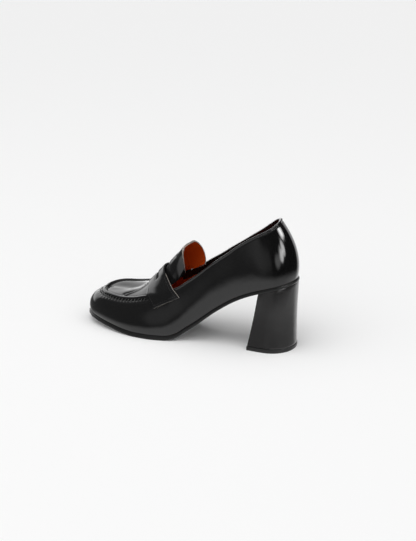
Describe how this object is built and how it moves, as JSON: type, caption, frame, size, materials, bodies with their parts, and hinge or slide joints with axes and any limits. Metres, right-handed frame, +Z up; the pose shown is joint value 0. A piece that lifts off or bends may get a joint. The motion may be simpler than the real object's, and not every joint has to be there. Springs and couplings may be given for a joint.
{
  "type": "loafer pump",
  "caption": "Left women's loafer pump: glossy black moccasin-toe upper with a slotted saddle strap, standing tongue, thin sole and flared block heel.",
  "frame": {"origin": "centre of the shoe's footprint on the floor", "axes": "+Z up, toe toward -X and heel toward +X, the shoe's outer side toward -Y, its inner side toward +Y"},
  "size_m": [0.232, 0.0774, 0.1282],
  "materials": {
    "upper_leather": "high gloss black box leather",
    "lining": "smooth tan lining leather, satin",
    "sole_edge": "black inked sole edge, semi-gloss",
    "heel": "black wrapped heel, semi-gloss",
    "top_piece": "matt black"
  },
  "bodies": {
    "root": {"outsole": "sole_edge", "heel_block": "heel", "heel_top_piece": "top_piece", "insole": "lining", "upper": "upper_leather", "tongue": "upper_leather", "saddle_strap": "upper_leather"}
  },
  "joints": []
}
